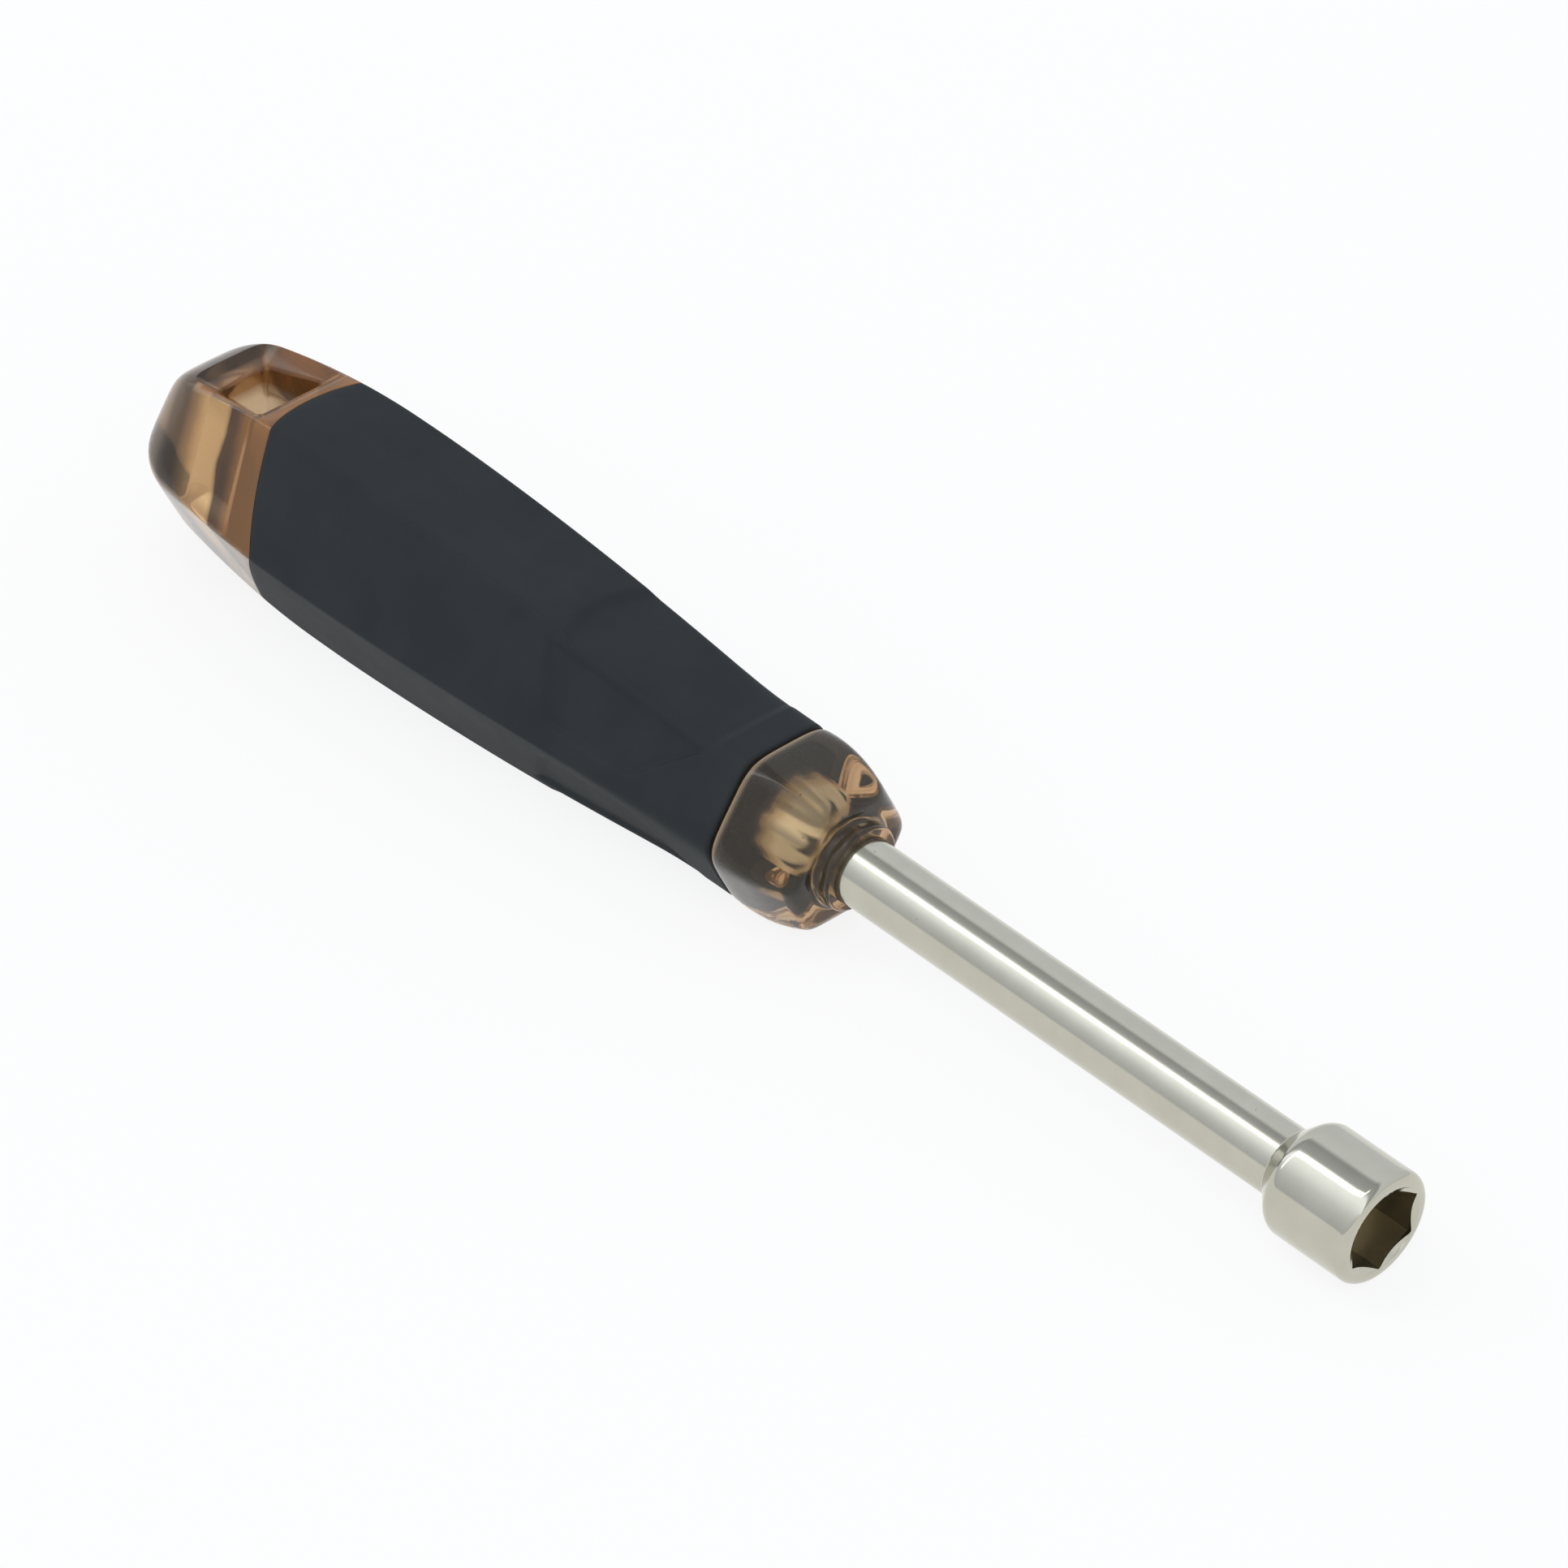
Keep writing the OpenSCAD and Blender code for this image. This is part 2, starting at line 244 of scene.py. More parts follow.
def nickel(name, smoothest, roughest, drawn, bare_r, bare_from, bare_to):
    """Nickel plate: warm grey, faint drawing lines along the tool, a few pits and dull clouds.
    From bare_from to bare_to and nearer to the axis than bare_r the plate is thin and the steel dull."""
    plate = Finish(name)
    shader = plate.shader
    shader.inputs["Metallic"].default_value = 1
    clouds = plate.blotches(260, 3, (0.35, plate_dull), (0.7, plate_bright))

    cells = plate.add("ShaderNodeTexVoronoi", Scale=900, Randomness=1)
    plate.join(plate.place, cells.inputs["Vector"])
    dots = plate.span(cells.outputs["Distance"], 0.085, 0.045)
    patches = plate.span(plate.noise(Scale=130, Detail=1), 0.6, 0.66)
    pits = plate.calc("MULTIPLY", dots, patches)

    x, y, z = plate.axes()
    sideways = plate.add("ShaderNodeCombineXYZ")
    plate.join(y, sideways.inputs["Y"])
    plate.join(z, sideways.inputs["Z"])
    off_axis = plate.add("ShaderNodeVectorMath", operation="LENGTH")
    plate.join(sideways.outputs["Vector"], off_axis.inputs[0])
    near_axis = plate.span(off_axis.outputs["Value"], bare_r * MM, (bare_r - bare_fade) * MM)
    ahead = plate.span(x, bare_from * MM, (bare_from + bare_rear_fade) * MM)
    behind = plate.span(x, bare_to * MM, (bare_to - bare_fade) * MM)
    bare = plate.calc("MULTIPLY", near_axis, plate.calc("MULTIPLY", ahead, behind))
    plate.join(plate.tint(bare, plate.tint(pits, clouds, pit_brown), bare_steel), shader.inputs["Base Color"])

    stretched = plate.add("ShaderNodeMapping", Scale=(60, 5200, 5200))
    plate.join(plate.place, stretched.inputs["Vector"])
    lines = plate.add("ShaderNodeTexNoise", Scale=1, Detail=4, Roughness=0.6)
    plate.join(stretched.outputs["Vector"], lines.inputs["Vector"])
    polish = plate.span(lines.outputs["Fac"], 0, 1, smoothest, roughest)
    plate.join(plate.calc("MULTIPLY_ADD", bare, bare_roughness, polish), shader.inputs["Roughness"])

    ripple = plate.bump(plate.noise(Scale=420, Detail=2), 0.05, 0.02 * MM)
    drawing = plate.bump(lines.outputs["Fac"], drawn, 0.006 * MM, over=ripple)
    plate.join(plate.bump(pits, 0.5, 0.03 * MM, over=drawing, sunk=True), shader.inputs["Normal"])
    return plate.material


shaft.data.materials.append(nickel(
    "shaft_nickel", smoothest=0.11, roughest=0.19, drawn=0.2,
    bare_r=bore_r + 0.4, bare_from=pinch_start, bare_to=0))
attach(shaft, "root")
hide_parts("shaft_tube")

# Socket head
# A turned steel head, pressed over the end of the tube and plated with it. The hexagon is broached from the
# mouth, where a cone leads the nut in, and it runs into the tube's bore.
head_r = 7.2
head_rear = -14.5
rear_edge = 0.12
seat_r = 4.33
seat_end = -9.97
shoulder_round = 2.2
mouth_round = 1.1
hex_half = 9.625 / 2
hex_floor = -9.0
floor_slope = 0.25
lead_r = 5.5
lead_slope = math.tan(math.radians(58))
lead_edge = 0.06


def hexagon(half, corner_deg):
    """Radius of a sharp hexagon with a corner at the given angle."""
    from_flat = np.mod(around - math.radians(corner_deg), math.pi / 3) - math.pi / 6
    return half / np.cos(from_flat)


def arc(start_deg, end_deg, count):
    """Sines and cosines of the turns from start to end, of which the first is left out."""
    turns = np.radians(even_steps(start_deg, end_deg, count))
    return zip(np.sin(turns), np.cos(turns))


# Outside of the head from the shoulder to the mouth
hex_wall = hexagon(hex_half, 90)
corner_x = head_rear + head_r - seat_r
setback = shoulder_round * math.tan(math.radians(22.5))
slope_run = head_r - seat_r - setback * math.sin(math.radians(45))
head_rings = [ring(head_rear, seat_r), ring(head_rear, seat_r + rear_edge / 2)]
head_rings += [ring(head_rear + rear_edge / 3, seat_r + rear_edge)]
head_rings += [ring(head_rear + t, seat_r + t) for t in np.linspace(0.2, slope_run, 8)]
for s, c in arc(45, 90, 14):
    head_rings.append(ring(corner_x + setback - shoulder_round * c, head_r - shoulder_round * (1 - s)))
head_rings += [ring(x, head_r) for x in even_steps(corner_x + setback, -mouth_round, 10)]
for s, c in arc(0, 90, 14):
    head_rings.append(ring(-mouth_round * (1 - s), head_r - mouth_round * (1 - c)))

# Inside of the head: lead-in cone, hexagon, its floor and the bore up to the tube
mouth_edge = np.maximum(lead_r, hex_wall)
cone_foot = np.minimum((hex_wall - lead_r) / lead_slope, -lead_edge - 0.01)
head_rings += [ring(0, mouth_edge + 2 * lead_edge), ring(-lead_edge / 3, mouth_edge + lead_edge * 2 / 3)]
head_rings += [ring(-lead_edge, mouth_edge)]
for t in even_steps(0, 1, 6):
    head_rings.append(ring(cone_foot * t - lead_edge * (1 - t), mouth_edge + (hex_wall - mouth_edge) * t))
for t in even_steps(0, 1, 12):
    head_rings.append(ring(cone_foot * (1 - t) + hex_floor * t, hex_wall))
head_rings += [ring(hex_floor - 0.6 * floor_slope, bore_r + (hex_wall - bore_r) * 0.1)]
head_rings += [ring(hex_floor - floor_slope, bore_r)]
head_rings += [ring(seat_end, bore_r), ring(seat_end, seat_r)]
head = skin("head", head_rings, closed_loop=True)
clean_shading(head, crease_deg=28)
head.data.materials.append(nickel(
    "head_nickel", smoothest=0.07, roughest=0.12, drawn=0.08,
    bare_r=5.6, bare_from=hex_floor - 0.5, bare_to=-0.45))
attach(head, "root")
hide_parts("socket_head")

# Handle core
# The handle proper, moulded around the shaft in clear amber plastic: a rounded butt with a framed hanging hole,
# a stem that the cushion covers, and a nose with a collar around the shaft.
butt_end = -197.9
belly_x = -166.2
belly_half = 13.2
rear_arc = 135.0
butt_len = belly_x - butt_end
end_r = (2 * belly_half * rear_arc - belly_half ** 2 - butt_len ** 2) / (2 * (rear_arc - butt_len))
end_x = butt_end + end_r
blend_x = belly_x + (end_x - belly_x) * rear_arc / (rear_arc - end_r)
seam_x = -95.0
seam_half = 9.3
seam_drop = belly_half - seam_half
front_arc = ((seam_x - belly_x) ** 2 + seam_drop ** 2) / (2 * seam_drop)
flat_normals = np.radians([30, 90, 150, 210, 270, 330])

# How soft the ridges are along the grip, and how much softer over the butt and at the seam
grip_softness = 0.012
butt_softer, butt_softer_len = 0.08, 20
seam_softer, seam_softer_len = 0.06, 30
# How far the width across the ridges is drawn in at the belly, over the butt and at the seam
belly_fit = 0.994
draw_rate = 0.39
draw_belly, draw_butt, draw_seam = 0.0187, 0.072, 0.083
draw_butt_len = 43
# How much a soft ridge takes from the width, as a power of two for each unit of softness
ridge_loss = 0.78


def barrel_half(x):
    """Half the width across the flats along the barrel: round butt, rear arc, front arc."""
    x = np.asarray(x, float)
    on_end = np.sqrt(np.maximum(end_r ** 2 - (x - end_x) ** 2, 0))
    on_rear = belly_half - rear_arc + np.sqrt(np.maximum(rear_arc ** 2 - (x - belly_x) ** 2, 0))
    on_front = belly_half - front_arc + np.sqrt(np.maximum(front_arc ** 2 - (x - belly_x) ** 2, 0))
    return np.where(x < blend_x, on_end, np.where(x < belly_x, on_rear, on_front))


def six_sided(halves, sharpness):
    """Radius of a six-sided section with softened ridges; halves holds the six flats' distances."""
    total = 0
    for normal, half in zip(flat_normals, halves):
        facing = np.maximum(np.cos(around - normal), 0)
        total = total + (facing / half) ** sharpness
    return total ** (-1 / sharpness)


def ridge_softness(x):
    """Softness of the ridges: crisp along the grip, rounder over the butt and towards the seam."""
    over_butt = 1 - smooth_step(butt_end, butt_end + butt_softer_len, x)
    to_seam = smooth_step(seam_x - seam_softer_len, seam_x, x)
    return grip_softness + butt_softer * over_butt + seam_softer * to_seam


def drawn_in(x):
    """Share of the width across the ridges that is left where the barrel is drawn in towards its ends."""
    over_butt = 1 - smooth_step(butt_end, butt_end + draw_butt_len, x)
    to_seam = smooth_step(belly_x, seam_x, x)
    return belly_fit * 2 ** (-draw_rate * (draw_belly + draw_butt * over_butt + draw_seam * to_seam))


def barrel_flats(x, sink=0.0):
    """Half the width across the flats; softer ridges need wider flats for the same width across the ridges."""
    half = barrel_half(x) * drawn_in(x) * 2 ** (ridge_loss * ridge_softness(x))
    return np.maximum(half - sink, 1e-4)


def barrel_radius(x, sink=0.0):
    return six_sided([barrel_flats(x, sink)] * 6, 1 / ridge_softness(x))


grip_rear = -176.5
grip_rear_arc = 20.0
grip_depth = 2.2
core_edge = 0.12
core_edge_middle = 0.035


def grip_edge(radius):
    """Station of the cushion's rear edge, an arc seen from above, for points at that radius."""
    y = radius * np.cos(around)
    return grip_rear + grip_rear_arc - np.sqrt(grip_rear_arc ** 2 - y ** 2)


# Butt, with rings that crowd towards its tip, the step down under the cushion's rear edge, and the stem
edge_x = np.full(COLUMNS, grip_rear)
for settling in range(12):
    edge_x = grip_edge(barrel_radius(edge_x))
edge_r = barrel_radius(edge_x)
stem_edge_r = barrel_radius(edge_x, grip_depth)
stem_start = grip_edge(stem_edge_r)
core_rings = []
for s in np.linspace(0.012, 1, 120):
    x = butt_end + (edge_x - core_edge - butt_end) * s * s * (2 - s)
    core_rings.append(ring(x, barrel_radius(x)))
core_rings.append(ring(edge_x - core_edge_middle, edge_r - core_edge_middle))
for t in np.linspace(0, 1, 10):
    r = (edge_r - core_edge) * (1 - t) + stem_edge_r * t
    core_rings.append(ring(grip_edge(r), r))
for t in even_steps(0, 1, 60):
    x = stem_start + (seam_x - stem_start) * t
    core_rings.append(ring(x, barrel_radius(x, grip_depth)))

nose_crown_x = -92.6
nose_half = 10.5
nose_front = -83.5
nose_front_half = 8.35
nose_drop = nose_half - nose_front_half
nose_arc = ((nose_front - nose_crown_x) ** 2 + nose_drop ** 2) / (2 * nose_drop)
nose_round = 2.4
nose_softness = 0.1
nose_crisper, nose_crisper_len = 0.045, 5
nose_fit = 0.07
lip = 0.8
round_x = nose_front - nose_round
round_half = nose_half - nose_arc + math.sqrt((nose_arc - nose_round) ** 2 - (round_x - nose_crown_x) ** 2)
nose_blend_x = nose_crown_x + (round_x - nose_crown_x) * nose_arc / (nose_arc - nose_round)
blend_turn = math.degrees(math.asin((nose_blend_x - round_x) / nose_round))
collar_r = 5.6
collar_end = -81.5
collar_round = 0.4
cove = 0.8
seat_in = 0.02
seat_edge = 0.1


def nose_radius(x, half):
    """Section of the nose: six-sided, with ridges that get crisper ahead of the seam."""
    softness = nose_softness - nose_crisper * smooth_step(seam_x, seam_x + nose_crisper_len, x)
    return six_sided([half * 2 ** (ridge_loss * softness - nose_fit)] * 6, 1 / softness)


def nose_half_at(x):
    return nose_half - nose_arc + math.sqrt(nose_arc ** 2 - (x - nose_crown_x) ** 2)


# Nose: the face at the seam, its rounded lip, the crowned side and the rounded front
lip_half = nose_half_at(seam_x + lip)
stem_r = barrel_radius(seam_x, grip_depth)
for t in even_steps(0, 1, 10):
    core_rings.append(ring(seam_x, stem_r + (nose_radius(seam_x, lip_half - lip) - stem_r) * t))
for s, c in arc(0, 90, 10):
    x = seam_x + lip * (1 - c)
    core_rings.append(ring(x, nose_radius(x, lip_half - lip * (1 - s))))
for x in even_steps(seam_x + lip, nose_blend_x, 44):
    core_rings.append(ring(x, nose_radius(x, nose_half_at(x))))
for s, c in arc(blend_turn, 90, 18):
    x = round_x + nose_round * s
    core_rings.append(ring(x, nose_radius(x, round_half + nose_round * c)))
face_r = nose_radius(nose_front, round_half)
for t in even_steps(0, 1, 14):
    core_rings.append(ring(nose_front, face_r + (collar_r + cove - face_r) * t))

# Collar with the cove at its foot, then the seat of the shaft and its tail
for s, c in arc(0, 90, 12):
    core_rings.append(ring(nose_front + cove * (1 - c), collar_r + cove * (1 - s)))
for x in even_steps(nose_front + cove, collar_end - collar_round, 4):
    core_rings.append(ring(x, collar_r))
for s, c in arc(0, 90, 8):
    core_rings.append(ring(collar_end - collar_round * (1 - s), collar_r - collar_round * (1 - c)))
for r in even_steps(collar_r - collar_round, shaft_r - seat_in + seat_edge, 6):
    core_rings.append(ring(collar_end, r))
core_rings.append(ring(collar_end - seat_edge, shaft_r - seat_in))
for x in np.linspace(collar_end - 6 * seat_edge, pinch_start, 40):
    core_rings.append(ring(x, shaft_r - seat_in))
for x in even_steps(pinch_start, pinch_end, 16):
    core_rings.append(ring(x, tail_radius(x, -seat_in)))
for x in even_steps(pinch_end, tail_end + tail_edge, 8):
    core_rings.append(ring(x, tail_radius(x, -seat_in)))
core = skin("core", core_rings, closed_loop=False)
clean_shading(core, crease_deg=40)

hole_rear = -188.1
hole_front = -179.4
hole_rear_half = 3.7
hole_front_half = 5.1
frame_width = 1.9
frame_depth = 1.5
frame_tilt = math.tan(math.radians(12.5))
frame_top = belly_half - rear_arc + math.sqrt(rear_arc ** 2 - (hole_front - belly_x) ** 2)
# The frame's slope from above the butt down to the hole, and the soft edge into the hole:
# shares of the frame's width and depth, and the radius of the corners
frame_levels = [(2.6, 2.6, 1.2), (0.25, 0.25, 0.8), (0.08, 0.03, 0.75), (0.0, -0.15, 0.7)]


def hole_outline(spread, corner, steps=6):
    """The hole's outline with rounded corners, moved outwards by spread: stations and half widths."""
    slant = (hole_front_half - hole_rear_half) / (hole_front - hole_rear)
    lean = math.hypot(1, slant)
    rear, front = hole_rear - spread, hole_front + spread

    def half_at(x):
        return hole_rear_half + slant * (x - hole_rear) + spread * lean

    corners = [(rear, -half_at(rear)), (front, -half_at(front)), (front, half_at(front)), (rear, half_at(rear))]
    points = []
    for k in range(4):
        here = np.array(corners[k])
        back = np.array(corners[k - 1]) - here
        on = np.array(corners[(k + 1) % 4]) - here
        back, on = back / np.linalg.norm(back), on / np.linalg.norm(on)
        half_turn = math.acos(float(np.clip(back @ on, -1, 1))) / 2
        reach = corner / math.tan(half_turn)
        middle = here + (back + on) / np.linalg.norm(back + on) * corner / math.sin(half_turn)
        start, end = here + back * reach - middle, here + on * reach - middle
        for t in np.linspace(0, 1, steps + 1):
            arm = start * (1 - t) + end * t
            points.append(middle + arm / np.linalg.norm(arm) * corner)
    return np.array(points)


def hole_cutter():
    """The hole and both its sloping frames as one solid to cut from the butt."""
    stack = []
    for width_share, depth_share, corner in frame_levels:
        line = hole_outline(width_share * frame_width, corner)
        slope = (hole_front - line[:, 0]) * frame_tilt
        height = frame_top - frame_depth - slope + depth_share * frame_depth
        stack.append(np.column_stack([line, height]))
    stack += [level * np.array([1, 1, -1]) for level in stack[::-1]]
    count = len(stack[0])
    faces = [list(range(count))]
    for row in range(len(stack) - 1):
        here, after = row * count, (row + 1) * count
        for k in range(count):
            n = (k + 1) % count
            faces.append([here + n, here + k, after + k, after + n])
    faces.append([(len(stack) - 1) * count + k for k in range(count)][::-1])
    cutter = new_piece("hole_cutter", np.concatenate(stack), faces)
    clean_shading(cutter, crease_deg=30)
    return cutter


cutter = hole_cutter()
cut = core.modifiers.new("hanging_hole", "BOOLEAN")
cut.operation = "DIFFERENCE"
cut.solver = "EXACT"
cut.object = cutter
bpy.context.view_layer.update()
drilled = bpy.data.meshes.new_from_object(core.evaluated_get(bpy.context.evaluated_depsgraph_get()))
core.modifiers.clear()
core.data = drilled
bpy.data.objects.remove(cutter)
clean_shading(core, crease_deg=32)

# Amber tint along the plastic, with painted bands across the butt: dark bands of painted shade and a light band of
# painted light, where the view through the plastic shows dark and bright surroundings. Station, colour and how clear
# it is there
amber_tint_and_painted_bands = [
    (-197.9, (0.5, 0.36, 0.22), 0.85),
    (-195, (0.42, 0.3, 0.19), 0.8),
    (-192.8, (0.1, 0.075, 0.055), 0.6),
    (-190, (0.09, 0.07, 0.05), 0.6),
    (-188.2, (0.32, 0.21, 0.11), 0.72),
    (-186.2, (0.86, 0.58, 0.28), 0.75),
    (-182.6, (0.88, 0.59, 0.28), 0.75),
    (-182.2, (0.08, 0.05, 0.034), 0.55),
    (-180.6, (0.09, 0.06, 0.04), 0.55),
    (-178.8, (0.3, 0.145, 0.058), 0.45),
    (-172, (0.33, 0.165, 0.065), 0.45),
    (-168, (0.9, 0.62, 0.34), 0.965),
    (-160, (0.92, 0.78, 0.58), 0.965),
]
band_lean = 0.4
band_level = 10.5
band_waver = 1.3
# The lip at the seam is less clear and light brown: a painted highlight for the light that its rounded rim catches.
# The stops give stations and how clear it is there
lip_painted_haze = 0.6
lip_painted_stops = [(seam_x - 0.2, 1), (seam_x - 0.1, lip_painted_haze), (seam_x + 0.4, lip_painted_haze), (seam_x + 1.1, 1)]
lip_painted_highlight = (0.74, 0.48, 0.25)
# Around the hanging hole the plastic is pale and clearer: painted light for the light that comes through the hole
hole_painted_pale, hole_painted_clear = (1, 0.9, 0.74), 0.95
frame_orange, frame_clear = (0.34, 0.15, 0.048), 0.7
# Where the hole's pale painted light starts and is full: to the sides, at the rear and at the front; and the frame's
hole_sides, hole_rear_fade, hole_front_fade = (7.2, 6.6), (-189.6, -188.2), (-177.2, -177.6)
frame_heights = (5.4, 7.4)
worn_from, worn_to, worn_haze = -176, -190, 0.07
depth_brown, depth_density = (0.64, 0.39, 0.05), 45


def amber():
    """Clear amber plastic, browner with depth: dark bands of painted shade and a light band of painted light across
    the butt, walls in the hanging hole painted pale as painted light, an orange frame around it, a hazy light-brown
    lip at the seam as a painted highlight, and a rear end that is a little worn."""
    plastic = Finish("amber_plastic")
    shader = plastic.shader
    shader.inputs["IOR"].default_value = 1.48
    shader.inputs["Specular Tint"].default_value = (0.6, 0.58, 0.55, 1)
    x, y, z = plastic.axes()

    def along_handle(source, stops):
        """A colour ramp from the butt to the collar; stops are stations in millimetres with their colours."""
        share = plastic.span(source, butt_end * MM, collar_end * MM)
        length = collar_end - butt_end
        return plastic.ramp(share, [((station - butt_end) / length, colour) for station, colour in stops])

    def grey(share):
        return (share, share, share)

    def within(source, fade, mask=1):
        """A mask that grows to full while the source goes through a fade, in millimetres."""
        start, full = fade
        return plastic.calc("MULTIPLY", mask, plastic.span(source, start * MM, full * MM))

    def blend(share, under, number):
        """The number underneath, turned into another one by a share."""
        node = plastic.add("ShaderNodeMix", data_type="FLOAT")
        plastic.join(share, node.inputs["Factor"])
        plastic.join(under, node.inputs[2])
        node.inputs[3].default_value = number
        return node.outputs[0]

    # Bands across the butt, leaning and wavering: the amber tint with painted shade and painted light in it
    band_edge_noise = plastic.noise(Scale=75, Detail=2.5, Distortion=0.8)
    waver = plastic.span(band_edge_noise, 0, 1, -band_waver * MM, band_waver * MM)
    lean = plastic.calc("MULTIPLY_ADD", z, band_lean, -band_lean * band_level * MM)
    across_bands = plastic.calc("ADD", waver, plastic.calc("ADD", x, lean))
    tint_and_painted_bands = along_handle(across_bands, [(station, colour) for station, colour, clear in amber_tint_and_painted_bands])
    band_clear = along_handle(across_bands, [(station, grey(clear)) for station, colour, clear in amber_tint_and_painted_bands])
    # Painted highlight on the seam's lip: less clear and light brown
    painted_lip_clear = along_handle(x, [(station, grey(clear)) for station, clear in lip_painted_stops])
    in_painted_lip = plastic.span(painted_lip_clear, 1, lip_painted_haze)

    # Painted pale light in the hole's region, with the orange frame inside it
    in_hole = within(plastic.calc("ABSOLUTE", y), hole_sides)
    in_hole = within(x, hole_rear_fade, in_hole)
    in_hole = within(x, hole_front_fade, in_hole)
    in_frame = within(plastic.calc("ABSOLUTE", z), frame_heights, in_hole)
    colour = plastic.tint(in_frame, plastic.tint(in_hole, tint_and_painted_bands, hole_painted_pale), frame_orange)
    plastic.join(plastic.tint(in_painted_lip, colour, lip_painted_highlight), shader.inputs["Base Color"])
    clear = blend(in_frame, blend(in_hole, band_clear, hole_painted_clear), frame_clear)
    plastic.join(plastic.calc("MINIMUM", clear, painted_lip_clear), shader.inputs["Transmission Weight"])

    scuffs = plastic.noise(Scale=220, Detail=2, Roughness=0.5)
    polish = plastic.span(scuffs, 0.5, 0.8, 0.05, 0.065)
    worn = plastic.span(x, worn_from * MM, worn_to * MM, 0, worn_haze)
    plastic.join(plastic.calc("ADD", polish, worn), shader.inputs["Roughness"])
    flow = plastic.noise(Scale=170, Detail=1.5, Distortion=0.6)
    plastic.join(plastic.bump(flow, 0.04, 0.12 * MM), shader.inputs["Normal"])
    depth = plastic.add("ShaderNodeVolumeAbsorption", Color=(*depth_brown, 1), Density=depth_density)
    plastic.join(depth.outputs["Volume"], plastic.nodes["Material Output"].inputs["Volume"])
    return plastic.material


core.data.materials.clear()
core.data.materials.append(amber())
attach(core, "root")
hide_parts("handle_core")

# Grip sleeve
# A black rubber cushion, moulded over the stem so that it lies flush with the butt. It ends at the nose in a
# raised band, and shallow recesses in its flats give the fingers a hold.
band_start = -100.3
band_half = 10.28
band_blend = 60
recess_depth = 0.5
flat_recess_start = -127.2
flat_recess_arc = 12.5
flat_recess_slope = 2
flat_recess_end = band_start + 0.9
flat_recess_end_slope = 1.6
panel_margin_upper = 1.3
panel_margin_lower = 2.4
panel_wall = 1.0
panel_rear = -127.8
panel_rear_slant = 5.0
panel_front_slant = 8.5
lap = 0.02
rear_face_drop = 0.14
cushion_edge = 0.12
cushion_edge_drop = 0.05
front_round = 0.45
front_gap = 0.35
front_inset = 1.5
# Angles up to which a flat is followed past its ridges, so that its tangents stay finite
least_turn, most_turn = 0.8, 1.2


def panel_sink(x, across):
    """Depth of a side flat's recess; across runs along the flat, towards the upper or lower ridge."""
    to_ridge = barrel_half(x) * math.tan(math.radians(30))
    upper_edge, lower_edge = to_ridge - panel_margin_upper, to_ridge - panel_margin_lower
    upper = smooth_step(0, panel_wall, upper_edge - across)
    lower = smooth_step(0, panel_wall, lower_edge + across)
    along = np.clip((upper_edge - across) / np.maximum(upper_edge + lower_edge, 0.1), 0, 1)
    rear = smooth_step(0, 2 * panel_wall, x - (panel_rear + panel_rear_slant * along))
    front = smooth_step(0, panel_wall, (band_start - panel_front_slant * along) - x)
    return recess_depth * upper * lower * rear * front


def flat_sink(x, half):
    """Depth of the recess across the upper and lower flats, whose rear end is a shallow curve."""
    from_side = np.abs(np.arctan2(np.sin(around), np.cos(around)))
    off_middle = half / np.tan(np.clip(from_side, least_turn, math.pi - least_turn))
    recess_from = flat_recess_start + off_middle ** 2 / (2 * flat_recess_arc)
    rear = smooth_step(0, flat_recess_slope, x - recess_from)
    front = smooth_step(flat_recess_end, flat_recess_end - flat_recess_end_slope, x)
    return recess_depth * rear * front


def grip_radius(x):
    """Section of the cushion: the barrel or the raised band, whichever stands out, less the recesses."""
    half = (barrel_flats(x) ** band_blend + band_half ** band_blend) ** (1 / band_blend)
    halves = []
    for normal in flat_normals:
        turned = np.mod(around - normal + math.pi, 2 * math.pi) - math.pi
        across = half * np.tan(np.clip(turned, -most_turn, most_turn))
        if abs(math.sin(normal)) > 0.9:
            halves.append(half - flat_sink(x, half))
        else:
            upwards = across * np.sign(math.cos(normal)) * np.sign(math.sin(normal))
            halves.append(half - panel_sink(x, upwards))
    return six_sided(halves, 1 / ridge_softness(x))


# Rear edge against the butt, then the outside up to the band, with more rings where the recesses are
grip_rings = []
for t in np.linspace(1, 0, 8):
    r = (edge_r - rear_face_drop) * (1 - t) + (stem_edge_r - lap) * t
    grip_rings.append(ring(grip_edge(r) - lap, r))
grip_rings += [ring(edge_x + cushion_edge / 6, edge_r - cushion_edge_drop), ring(edge_x + cushion_edge, edge_r)]
front_x = seam_x - front_gap
for t in np.concatenate([even_steps(0, 0.56, 80), even_steps(0.56, 0.92, 140), even_steps(0.92, 1, 60)]):
    x = edge_x + cushion_edge + (front_x - front_round - edge_x - cushion_edge) * t
    grip_rings.append(ring(x, grip_radius(x)))

# Rounded front edge, the groove at the seam, and back along the stem
front_r = grip_radius(np.full(COLUMNS, front_x - front_round))
for s, c in arc(0, 90, 8):
    grip_rings.append(ring(front_x - front_round * (1 - s), front_r - front_round * (1 - c)))
grip_rings += [ring(front_x, front_r - 0.8 * front_inset), ring(seam_x + lap, front_r - front_inset)]
for t in even_steps(0, 1, 6):
    grip_rings.append(ring(seam_x + lap, (front_r - front_inset) * (1 - t) + (stem_r - lap) * t))
for t in even_steps(1, 0, 60)[:-1]:
    x = stem_start + (seam_x - stem_start) * t
    grip_rings.append(ring(x, barrel_radius(x, grip_depth) - lap))
grip = skin("grip", grip_rings, closed_loop=True)
clean_shading(grip, crease_deg=45)

rubber_black = (0.020, 0.0242, 0.0262)
rubber_dusty = (0.026, 0.0302, 0.0322)


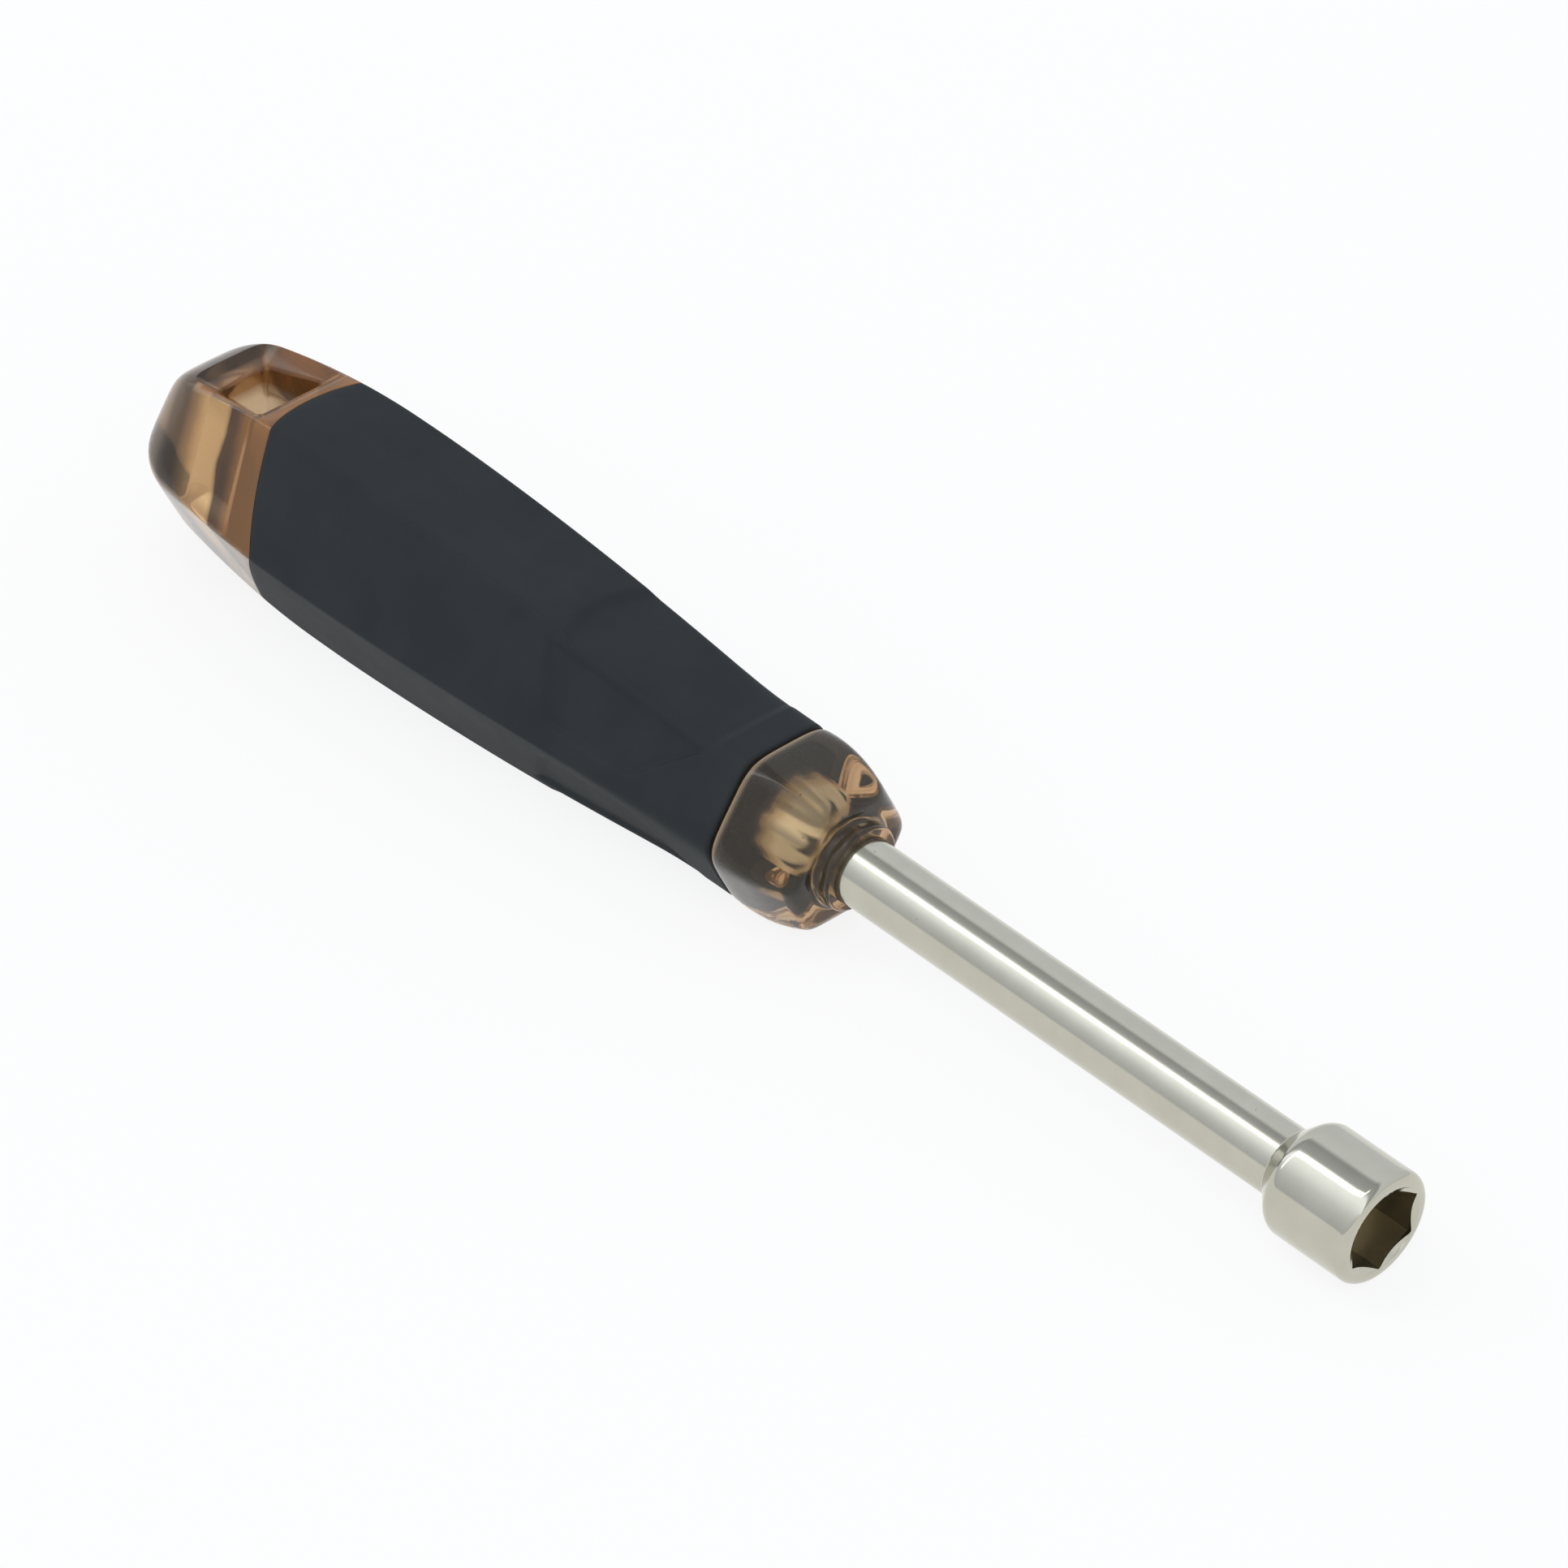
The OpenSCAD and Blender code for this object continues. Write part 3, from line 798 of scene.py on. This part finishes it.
def rubber():
    """Satin black rubber with a fine mould grain and faint dusty clouds."""
    cushion = Finish("grip_rubber")
    shader = cushion.shader
    shader.inputs["Specular IOR Level"].default_value = 0.13
    dust = cushion.blotches(120, 4, (0.3, rubber_black), (0.75, rubber_dusty))
    cushion.join(dust, shader.inputs["Base Color"])
    satin = cushion.span(cushion.noise(Scale=200, Detail=4), 0, 1, 0.58, 0.68)
    cushion.join(satin, shader.inputs["Roughness"])
    grain = cushion.bump(cushion.noise(Scale=5200, Detail=3), 0.2, 0.03 * MM)
    cushion.join(grain, shader.inputs["Normal"])
    return cushion.material


grip.data.materials.append(rubber())
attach(grip, "root")
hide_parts("grip_sleeve")

# Table
# A wide, plain white table top. The tool lies on it on the belly of the grip and the rim of the head, so the
# table is tilted a little against the tool's axis.
table_half = 4000
# Share of pure white in the table top where it is seen, in a mirror or through plastic too
table_white = 0.86
rest_half = float(barrel_flats(belly_x))
floor_rise = (rest_half - head_r) / (-mouth_round - belly_x)
corners = [(-table_half, -table_half), (table_half, -table_half), (table_half, table_half), (-table_half, table_half)]
floor = new_piece("table", [(x, y, (x - belly_x) * floor_rise - rest_half) for x, y in corners], [(0, 1, 2, 3)])
top = Finish("white_table")
floor_tone = top.blotches(3, 2, (0.3, (0.86, 0.86, 0.855)), (0.7, (0.88, 0.88, 0.875)))
top.join(floor_tone, top.shader.inputs["Base Color"])
top.shader.inputs["Roughness"].default_value = 0.8
path = top.add("ShaderNodeLightPath").outputs
seen = top.calc("MAXIMUM", path["Is Camera Ray"], path["Is Glossy Ray"])
seen = top.calc("MAXIMUM", seen, path["Is Transmission Ray"])
white = top.add("ShaderNodeEmission", Color=(1, 1, 1, 1), Strength=1)
blend = top.add("ShaderNodeMixShader")
top.join(top.calc("MULTIPLY", seen, table_white), blend.inputs["Fac"])
top.join(top.shader.outputs["BSDF"], blend.inputs[1])
top.join(white.outputs["Emission"], blend.inputs[2])
top.join(blend.outputs["Shader"], top.nodes["Material Output"].inputs["Surface"])
floor.data.materials.append(top.material)

# Light
# A white studio: a pale wall behind the tool, a wide softbox above and in front that fades towards the horizon,
# a dark gap between the two, and one bright strip along the softbox's rear edge.
studio_strength = 2
studio_white = (0.95, 0.98, 1.06)
# Light around the tool's axis: share of the half turn from the wall's foot over the top to the front, and level
levels = [
    (0, 0.42), (0.2, 0.45), (0.365, 0.475), (0.41, 0.23), (0.54, 0.31), (0.595, 0.8),
    (0.66, 0.79), (0.74, 0.64), (0.81, 0.5), (0.88, 0.42), (1, 0.34),
]
strip_long = 1.8
strip_wide = 0.17
strip_watts = 2.0
strip_place = Vector((-0.78, -0.42, 1.035))
strip_aim = Vector((-0.1, 0, 0))

world = bpy.data.worlds.new("white_studio")
bpy.context.scene.world = world
world.use_nodes = True
sky = world.node_tree
background = sky.nodes["Background"]
background.inputs["Strength"].default_value = studio_strength
direction = sky.nodes.new("ShaderNodeTexCoord")
split = sky.nodes.new("ShaderNodeSeparateXYZ")
height = sky.nodes.new("ShaderNodeMath")
height.operation = "ARCTAN2"
turn = sky.nodes.new("ShaderNodeMapRange")
turn.inputs["From Min"].default_value = 0
turn.inputs["From Max"].default_value = math.pi
walls = sky.nodes.new("ShaderNodeValToRGB")
while len(walls.color_ramp.elements) < len(levels):
    walls.color_ramp.elements.new(0.5)
for stop, (share, level) in zip(walls.color_ramp.elements, levels):
    stop.position = share
    stop.color = (*[tone * level for tone in studio_white], 1)
sky.links.new(direction.outputs["Generated"], split.inputs["Vector"])
sky.links.new(split.outputs["Z"], height.inputs[0])
sky.links.new(split.outputs["Y"], height.inputs[1])
sky.links.new(height.outputs[0], turn.inputs["Value"])
sky.links.new(turn.outputs["Result"], walls.inputs["Fac"])
sky.links.new(walls.outputs["Color"], background.inputs["Color"])

strip = bpy.data.lights.new("strip_light", "AREA")
strip.shape = "RECTANGLE"
strip.size = strip_long
strip.size_y = strip_wide
strip.energy = strip_watts
holder = bpy.data.objects.new("strip_light", strip)
holder.location = strip_place
holder.rotation_euler = (strip_aim - strip_place).to_track_quat("-Z", "X").to_euler()
holder.visible_transmission = False
bpy.context.scene.collection.objects.link(holder)

# Camera
# A long lens about a metre away, looking down on the tool from the front right.
sensor_width = 36
lens_px = 11025
image_px = 1932
yaw = math.radians(31.98)
pitch = math.radians(43.5)
roll = math.radians(-0.15)
distance = 1031.6
aim_along = -96.69
aim_across = 3.06
# Directions in the picture, right and down, of the tool's axis and of the way across it
axis_in_picture = Vector((0.82544, 0.56449))
across_in_picture = Vector((0.56449, -0.82544))
towards = Vector((math.sin(yaw), -math.cos(yaw) * math.sin(pitch), math.cos(yaw) * math.cos(pitch)))
along = (Vector((1, 0, 0)) - towards * towards.x).normalized()
aside = towards.cross(along)
pic_along = axis_in_picture * math.cos(roll) + across_in_picture * math.sin(roll)
pic_aside = across_in_picture * math.cos(roll) - axis_in_picture * math.sin(roll)
right = along * pic_along.x + aside * pic_aside.x
up = -(along * pic_along.y + aside * pic_aside.y)
eye = (Vector((aim_along, 0, 0)) + aside * aim_across + towards * distance) * MM
lens = bpy.data.cameras.new("camera")
lens.sensor_width = sensor_width
lens.lens = lens_px * sensor_width / image_px
lens.clip_end = 20
camera = bpy.data.objects.new("camera", lens)
camera.matrix_world = Matrix.Translation(eye) @ Matrix((right, up, towards)).transposed().to_4x4()
bpy.context.scene.collection.objects.link(camera)
bpy.context.scene.camera = camera
bpy.context.scene.view_settings.view_transform = "Standard"
